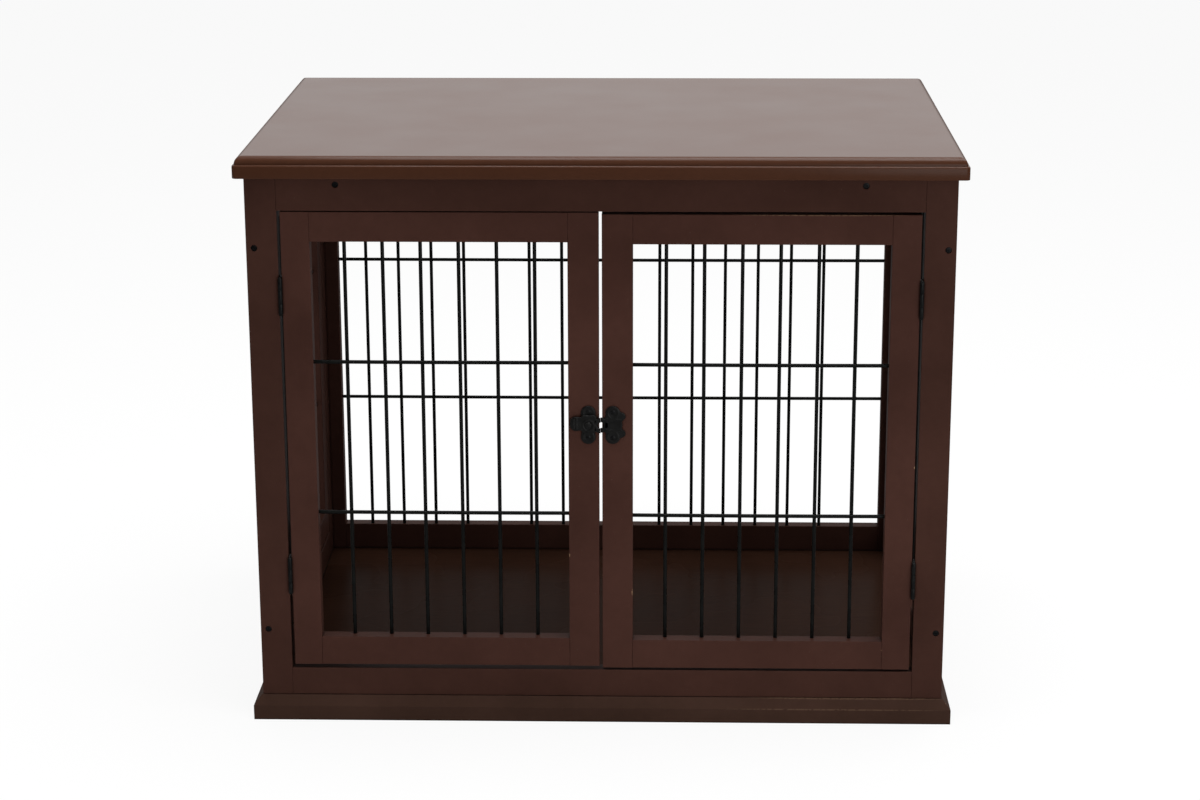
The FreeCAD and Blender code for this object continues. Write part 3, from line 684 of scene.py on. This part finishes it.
# In mm: the knuckles and the play between them, how far the pin's axis stands before the wood, half
# the gap that the leaves lie in, and how far in they reach.
HINGE_LENGTH = 43.0
MIDDLE_KNUCKLE = 16.0
KNUCKLE_PLAY = 0.2
HINGE_PROUD = 2.9
HINGE_HALF_GAP = 1.8
LEAF_REACH = 14.5
# The places of a leaf's screws from its middle, inwards and up, and the radius of their heads.
LEAF_SCREWS = ((1.5, -15), (3.5, 0), (1.5, 15))
LEAF_SCREW_HEAD = 2.5
# The head of a pin as (radius, height) from the end of the hinge.
PIN_RADIUS = 1.3
PIN_CAP = [(0, -0.9), (PIN_RADIUS, -0.8), (1.9, -0.3), (1.9, 0), (PIN_RADIUS, 0.1)]


def knuckle(origin, low, high, radius):
    """A rolled knuckle: a turned barrel with eased ends, in millimetres."""
    ease, slight = 0.35, 0.1
    profile = [(0, low), (radius - ease, low), (radius - slight, low + slight), (radius, low + ease),
               (radius, high - ease), (radius - slight, high - slight), (radius - ease, high),
               (0, high)]
    return turned(profile, origin, (0, 0, 1))


def leaf(origin, inward, out, thick):
    """A hinge leaf with eased edges, its three screws shown by their heads."""
    half = (LEAF_REACH + HINGE_PROUD) / 2
    rise = HINGE_LENGTH / 2
    outline = reach(144, boxes=((-half, -rise, half, rise),), soft=1)
    middle = origin + inward * (half - HINGE_PROUD) * MM + np.array([0, 0, rise * MM])
    grids = [laid(casting(outline, 0, thick, 0.3, rows=3), middle, inward, (0, 0, 1), out)]
    sunk = 0.15
    for across, up in LEAF_SCREWS:
        at = middle + (inward * across + np.array([0, 0, up])) * MM + out * (thick - sunk) * MM
        grids.append(cross_head(LEAF_SCREW_HEAD, at, inward, (0, 0, 1), out, dome=0.3,
                                sides=24, rows=8, spin=0.3 * up))
    return grids


class CRATE_OT_hinges(bpy.types.Operator):
    """Roll the six butt hinges: leaves, knuckles and headed pins"""
    bl_idname = "crate.hinges"
    bl_label = "Hinges"

    def execute(self, context):
        size = context.scene.crate_sizes
        thick, radius = size.leaf / MM, size.knuckle / MM
        end = (HINGE_LENGTH - MIDDLE_KNUCKLE) / 2
        other_end = end + MIDDLE_KNUCKLE
        shaft = PIN_CAP + [(r, HINGE_LENGTH - z) for r, z in PIN_CAP[::-1]]
        steel = finish("blackened_steel_hinges")
        pins = []
        for door, (to_door, inward) in DOORS.items():
            to_door, inward = np.array(to_door, float), np.array(inward, float)
            joint = next(j for j in frame["joints"] if j["child"] == door)
            axis = np.array(joint["pos_m"], float)
            low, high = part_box(f"{door}_hinge_leaves")
            moving, fixed = [], []
            for foot in (low.z, high.z - HINGE_LENGTH * MM):
                pivot = np.array([axis[0], axis[1], foot])
                face = pivot + inward * HINGE_PROUD * MM
                moving.append(knuckle(pivot, end + KNUCKLE_PLAY, other_end - KNUCKLE_PLAY, radius))
                moving += leaf(face + to_door * HINGE_HALF_GAP * MM, inward, -to_door, thick)
                fixed.append(knuckle(pivot, 0, end - KNUCKLE_PLAY, radius))
                fixed.append(knuckle(pivot, other_end + KNUCKLE_PLAY, HINGE_LENGTH, radius))
                fixed += leaf(face - to_door * HINGE_HALF_GAP * MM, inward, to_door, thick)
                pins.append(turned(shaft, pivot, (0, 0, 1), sides=20))
            joined(f"{door}_hinges_moving", moving, door, steel, (f"{door}_hinge_leaves",))
            joined(f"{door}_hinges_fixed", fixed, "carcass", steel, (f"{door}_jamb_leaves",))
        joined("hinge_pins_headed", pins, "carcass", steel, ("hinge_pins",))
        return {"FINISHED"}


# ---------------------------------------------------------------- latches

# For each latch: the prefix of its nodes, the bodies of its plate and its keeper, and the ways right and
# out, as someone facing it has them.
LATCHES = {
    "front": ("front_left_door", "front_right_door", (1, 0, 0), (0, -1, 0)),
    "side": ("side_door", "carcass", (0, -1, 0), (-1, 0, 0)),
}
LATCH_HEIGHT = 360.5 * MM
# The rest is in mm, from the middle of the ring: the levers' studs lie PIVOT to the left of it, and the
# keepers' screws as far to the right. The gap between lever and keeper is RING_SPLIT on each side.
PIVOT = 14.0
RING_SPLIT = 0.15
RING_INNER, RING_OUTER = 3.5, 9.0
PLATE_LAYER = (0.0, 1.6)
LEVER_LAYER = (1.9, 4.3)
LEVER_MIDDLE = (-16.0, 2.0)
KEEPER_MIDDLE = (15.5, 0.0)
# The start and end of each half of the ring, in degrees.
LEVER_ARC = (90.4, 269.6)
KEEPER_ARC = (-89.6, 89.6)
SCREW_RISE = 15.5
SCREW_PROUD = 1.45
# A stud as (radius, height), and the outlines of the castings, each about its own middle.
STUD = ((0, 0.2), (2.45, 0.2), (2.45, 4.5), (4.0, 4.6), (4.1, 5.1), (3.6, 5.75), (2.2, 6.0), (0, 6.05))
PLATE_OUTLINE = {"circles": ((0, 14, 8.6), (0, -14, 8.6), (0, 0, 7.5)), "boxes": ((-7, -13, 7, 13),),
                 "soft": 3}
LEVER_OUTLINE = {"circles": ((-12, -1.4, 7.0), (-12, 1.4, 7.0)),
                 "boxes": ((-5.5, -10, 11.4, 10), (-17.0, -7.6, 0, 7.6)), "soft": 4}
KEEPER_OUTLINE = {"circles": ((-1.5, 14, 8.4), (-1.5, -14, 8.4), (8, 10, 5.0), (8, -10, 5.0), (1.5, 0, 8)),
                  "boxes": ((-10.7, -9.5, 5, 9.5),), "soft": 2}


def ribbed(x, y):
    """Relief on the lever: three ribs across its thumb tab and a low ring about its pivot."""
    tab = np.clip((-x - 9) / 2, 0, 1) * np.clip((8 - np.abs(y - 0.5)) / 2, 0, 1)
    ribs = 0.28 * (1 + np.cos(2 * np.pi * (x + 18) / 3.2)) * tab
    far = np.hypot(x - 2, y + 2)
    return ribs + 0.35 * np.exp(-((far - 6.2) / 0.8) ** 2)


def dished(x, y):
    """Relief on a plate: a rim round a shallow dish in each lobe, and two ribs across its middle."""
    lobe = np.hypot(x, np.abs(y) - 14)
    ribs = 0.6 * np.exp(-((np.abs(y) - 6.2) / 1.0) ** 2)
    return ribs + 0.3 * np.exp(-((lobe - 6) / 0.9) ** 2) - 0.2 * np.exp(-(lobe / 3.5) ** 2)


class CRATE_OT_latches(bpy.types.Operator):
    """Cast the two butterfly latches: plate with its stud, turning lever, and keeper"""
    bl_idname = "crate.latches"
    bl_label = "Latches"

    def execute(self, context):
        head = context.scene.crate_sizes.latch_screw / MM
        enamel, steel = finish("enamelled_zinc_latches"), finish("blackened_steel_screws")
        up = (0, 0, 1)
        for name, (door, other, right, out) in LATCHES.items():
            right, out = np.array(right, float), np.array(out, float)
            low, high = (np.array(corner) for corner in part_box(f"{name}_latch_lever"))
            centre = (low + high) / 2
            # The lever ends one split before the ring's middle, and its layer starts off the wood.
            tip = max(low @ right, high @ right) + RING_SPLIT * MM
            foot = min(low @ out, high @ out) - LEVER_LAYER[0] * MM
            gap = centre + right * (tip - centre @ right) + out * (foot - centre @ out)
            gap[2] = LATCH_HEIGHT

            def at(u, v, d=0.0):
                return gap + right * u * MM + np.array([0, 0, v * MM]) + out * d * MM

            def cast(outline, layer, edge, relief, rows, place):
                """A casting in its layer, at a place."""
                body = casting(reach(180, **outline), *layer, edge, relief, rows=rows)
                return laid(body, at(*place), right, up, out)

            def ring_half(layer, turn):
                """Half of the ring, in its layer."""
                return laid(half_ring(RING_INNER, RING_OUTER, *layer, *turn), at(0, 0), right, up, out)

            def screws(across, turn):
                """A piece's two screws, above and below its middle."""
                return [cross_head(head, at(across, v, SCREW_PROUD), right, up, out, dome=0.6,
                                   spin=turn * v) for v in (SCREW_RISE, -SCREW_RISE)]

            plate = [cast(PLATE_OUTLINE, PLATE_LAYER, 0.6, dished, 14, (-PIVOT, 0)),
                     turned(STUD, at(-PIVOT, 0), out)]
            joined(f"{name}_latch_plate_cast", plate, door, enamel, (f"{name}_latch_plate",))
            joined(f"{name}_latch_plate_screws", screws(-PIVOT, 0.4), door, steel)

            lever = [cast(LEVER_OUTLINE, LEVER_LAYER, 0.7, ribbed, 16, LEVER_MIDDLE),
                     ring_half(LEVER_LAYER, LEVER_ARC)]
            joined(f"{name}_latch_lever_cast", lever, f"{name}_latch_lever", enamel,
                   (f"{name}_latch_lever",))

            keeper = [cast(KEEPER_OUTLINE, PLATE_LAYER, 0.6, lambda x, y: dished(x + 1.5, y), 14,
                           KEEPER_MIDDLE),
                      ring_half(PLATE_LAYER, KEEPER_ARC)]
            joined(f"{name}_latch_keeper_cast", keeper, other, enamel, (f"{name}_latch_keeper",))
            joined(f"{name}_latch_keeper_screws", screws(PIVOT, 0.3), other, steel)
        return {"FINISHED"}


# ---------------------------------------------------------------- screws

# For each row of wood screws: its node, the X, Y and Z values of their seats in mm (every X with every Y
# and every Z), the way that the heads face (None: out through the front or the back), and their length.
SCREW_ROWS = (
    ("frame_screws", (-389.5, 389.5), (-276.0, 276.0), (109.5, 565.5), None, 45),
    ("cleat_screws", (-296.0, 296.0), (-276.0, 276.0), (638.4,), None, 38),
    ("top_screws", (-240.0, 0.0, 240.0), (-246.0, 246.0), (628.7,), (0, 0, -1), 32),
    ("base_screws", (-278.5, 278.5), (-267.0, 267.0), (0.0,), (0, 0, -1), 42),
    ("base_screws", (-389.5, 389.5), (-138.0, 138.0), (0.0,), (0, 0, -1), 42),
)
# In mm: how deep a head is sunk, how much a tip stays clear of its hole's end, and the shank's radius.
HEAD_SUNK = 0.9
TIP_CLEAR = 0.5
SHANK_RADIUS = 2.0


def driven(origin, out, reach_mm, radius, spin):
    """A countersunk wood screw: its cross head at the origin, its cone, shank and point behind it."""
    cone, point = 2.6, 3.0
    right = np.array([0.0, 0.0, 1.0]) if abs(out[2]) < 0.5 else np.array([1.0, 0.0, 0.0])
    up = np.cross(out, right)
    shank = [(0, -HEAD_RIM), (radius, -HEAD_RIM), (SHANK_RADIUS, -cone),
             (SHANK_RADIUS, point - reach_mm), (0, -reach_mm)]
    return [cross_head(radius, origin, right, up, out, dome=0.2, spin=spin),
            turned(shank, origin, out, sides=16)]


class CRATE_OT_screws(bpy.types.Operator):
    """Drive the wood screws of the frames, cleats, top and base"""
    bl_idname = "crate.screws"
    bl_label = "Screws"

    def execute(self, context):
        radius = context.scene.crate_sizes.screw_head / MM
        nodes = {}
        for node, across, along, levels, facing, long_mm in SCREW_ROWS:
            seats = [(x, y, z) for x in across for y in along for z in levels]
            nodes.setdefault(node, []).extend(
                (seat, facing or (0, np.sign(seat[1]), 0), long_mm) for seat in seats)
        for node, screws in nodes.items():
            grids = []
            for index, (seat, facing, long_mm) in enumerate(screws):
                out = np.array(facing, float)
                origin = np.array(seat) * MM - out * HEAD_SUNK * MM
                grids += driven(origin, out, long_mm - TIP_CLEAR, radius, 0.9 * index)
            joined(f"{node}_driven", grids, "carcass", finish("blackened_steel_screws"), (node,))
        return {"FINISHED"}


# ---------------------------------------------------------------- stage

# The camera that was fitted to the photograph: its place in metres, its lens on a sensor of 36 mm, and
# its pitch, yaw and roll in degrees.
CAMERA_PLACE = (0.07738, -3.21064, 1.22089)
CAMERA_LENS = 80.38
CAMERA_ANGLES = (15.809, 1.464, 0.259)
WHITE = (1, 1, 1, 1)
# Half the side of the studio floor, in metres.
FLOOR_HALF = 20.0


def camera_turn(pitch, yaw, roll):
    """The camera's axes as columns: it looks along +Y, is pitched down, then yawed and rolled, in degrees."""
    p, y, r = (math.radians(v) for v in (pitch, yaw, roll))
    tilt = np.array([[1, 0, 0], [0, math.cos(p), -math.sin(p)], [0, math.sin(p), math.cos(p)]])
    swing = np.array([[math.cos(y), 0, math.sin(y)], [0, 1, 0], [-math.sin(y), 0, math.cos(y)]])
    bank = np.array([[math.cos(r), -math.sin(r), 0], [math.sin(r), math.cos(r), 0], [0, 0, 1]])
    rows = bank @ swing @ tilt @ np.array([[1, 0, 0], [0, 0, -1], [0, 1, 0]])
    return np.stack([rows[0], -rows[1], -rows[2]], -1)


def lamp(name, place, target, size, watts):
    """A square soft box at a place, turned to a target; its size is its side in metres."""
    light = bpy.data.lights.new(name, "AREA")
    light.size, light.energy = size, watts
    item = bpy.data.objects.new(name, light)
    bpy.context.scene.collection.objects.link(item)
    place, target = np.array(place, float), np.array(target, float)
    back = (place - target) / np.linalg.norm(place - target)
    right = np.cross([0, 0, 1], back)
    right /= np.linalg.norm(right)
    turn = np.stack([right, np.cross(back, right), back], -1)
    item.matrix_world = Matrix.Translation(place.tolist()) @ Matrix(turn.tolist()).to_4x4()


class CRATE_OT_stage(bpy.types.Operator):
    """Set the pale studio: floor, soft boxes, white surround and the camera"""
    bl_idname = "crate.stage"
    bl_label = "Studio stage"

    def execute(self, context):
        scene = context.scene
        scene.view_settings.view_transform = "Standard"
        camera = bpy.data.cameras.new("camera")
        camera.sensor_width, camera.lens = 36.0, CAMERA_LENS
        camera.clip_start, camera.clip_end = 0.05, 60.0
        eye = bpy.data.objects.new("camera", camera)
        scene.collection.objects.link(eye)
        turn = Matrix(camera_turn(*CAMERA_ANGLES).tolist()).to_4x4()
        eye.matrix_world = Matrix.Translation(CAMERA_PLACE) @ turn
        scene.camera = eye

        lamp("overhead_box", (0.3, -0.1, 3.0), (0.2, -0.1, 0.3), 2.0, 80)
        lamp("low_fill", (1.3, -2.8, 0.6), (0.2, 0, 0.25), 1.4, 16)

        world = bpy.data.worlds.new("studio")
        world.use_nodes = True
        tree = world.node_tree
        tree.nodes.clear()
        way = self.place(tree, "Generated")
        # The surround is dimmer in front than behind. Matt surfaces get a soft light that grows with
        # height, and gloss mirrors a dark band at the horizon, which keeps grazing faces brown.
        soft = times(tree, between(tree, way["Y"], -0.6, 0.4, 0.24, 0.5),
                     between(tree, way["Z"], -0.2, 0.5, 0.6, 1.15))
        mirrored = times(tree, between(tree, way["Y"], -0.6, 0.4, 0.1, 1.0),
                         between(tree, way["Z"], 0.02, 0.16, 0.12, 1.0))
        gloss = add(tree, "LightPath").outputs["Is Glossy Ray"]
        lit = between(tree, gloss, 0, 1, soft, mirrored)
        strength = between(tree, self.seen(tree), 0, 1, lit, 1.0)
        room = add(tree, "Background", {"Color": WHITE, "Strength": strength})
        add(tree, "OutputWorld", {"Surface": room.outputs[0]})
        scene.world = world

        floor = bpy.data.meshes.new("studio_floor")
        corners = ((-1, -1), (1, -1), (1, 1), (-1, 1))
        floor.from_pydata([(x * FLOOR_HALF, y * FLOOR_HALF, 0) for x, y in corners], [], [(0, 1, 2, 3)])
        ground = bpy.data.objects.new("studio_floor", floor)
        scene.collection.objects.link(ground)
        floor.materials.append(self.paper())
        return {"FINISHED"}

    @staticmethod
    def seen(tree):
        """1 for rays of the camera, and for those that it sends through glass."""
        path = add(tree, "LightPath")
        return add(tree, "Math", {0: path.outputs["Is Camera Ray"], 1: path.outputs["Is Transmission Ray"]},
                   operation="MAXIMUM").outputs[0]

    @staticmethod
    def place(tree, kind):
        """The X, Y and Z of a place on the floor, or of a direction in the surround."""
        return add(tree, "SeparateXYZ", {"Vector": add(tree, "TexCoord").outputs[kind]}).outputs

    def paper(self):
        """A sheet of white paper that ends a step in front of the crate, on a dark studio floor.

        The camera sees white all round, less the shadows; gloss sees the sheet dimmed, then the dark.
        """
        material, tree = blank("studio_paper")
        back = self.place(tree, "Object")["Y"]
        gloss = add(tree, "LightPath").outputs["Is Glossy Ray"]
        pale = times(tree, between(tree, back, -2.6, -1.2, 0.12, 0.86),
                     between(tree, gloss, 0, 1, 1, 0.15))
        matt = add(tree, "BsdfDiffuse", {"Color": pale})
        glow = add(tree, "Emission", {"Color": WHITE, "Strength": 1.02})
        shown = between(tree, back, -2.0, -0.9, 0.985, 0.88)
        mirrored = times(tree, gloss, between(tree, back, -2.0, -0.9, 0.0, 0.12))
        share = between(tree, self.seen(tree), 0, 1, mirrored, shown)
        both = add(tree, "MixShader", {0: share, 1: matt.outputs[0], 2: glow.outputs[0]})
        add(tree, "OutputMaterial", {"Surface": both.outputs[0]})
        return material


# ---------------------------------------------------------------- panel and main

STEPS = (CRATE_OT_stage, CRATE_OT_finishes, CRATE_OT_table_top, CRATE_OT_grilles, CRATE_OT_hinges,
         CRATE_OT_latches, CRATE_OT_screws)


class CRATE_PT_panel(bpy.types.Panel):
    """The steps of the crate, in order"""
    bl_label = "Crate"
    bl_space_type = "VIEW_3D"
    bl_region_type = "UI"
    bl_category = "Crate"

    def draw(self, context):
        for step in STEPS:
            self.layout.operator(step.bl_idname)


CLASSES = (CrateColours, CrateSizes, *STEPS, CRATE_PT_panel)


def register():
    for item in CLASSES:
        bpy.utils.register_class(item)
    bpy.types.Scene.crate_colours = bpy.props.PointerProperty(type=CrateColours)
    bpy.types.Scene.crate_sizes = bpy.props.PointerProperty(type=CrateSizes)


def unregister():
    del bpy.types.Scene.crate_sizes
    del bpy.types.Scene.crate_colours
    for item in reversed(CLASSES):
        bpy.utils.unregister_class(item)


def main():
    register()
    bpy.ops.crate.stage()
    bpy.ops.crate.finishes()
    bpy.ops.crate.table_top()
    bpy.ops.crate.grilles()
    bpy.ops.crate.hinges()
    bpy.ops.crate.latches()
    bpy.ops.crate.screws()


if __name__ == "__main__":
    main()
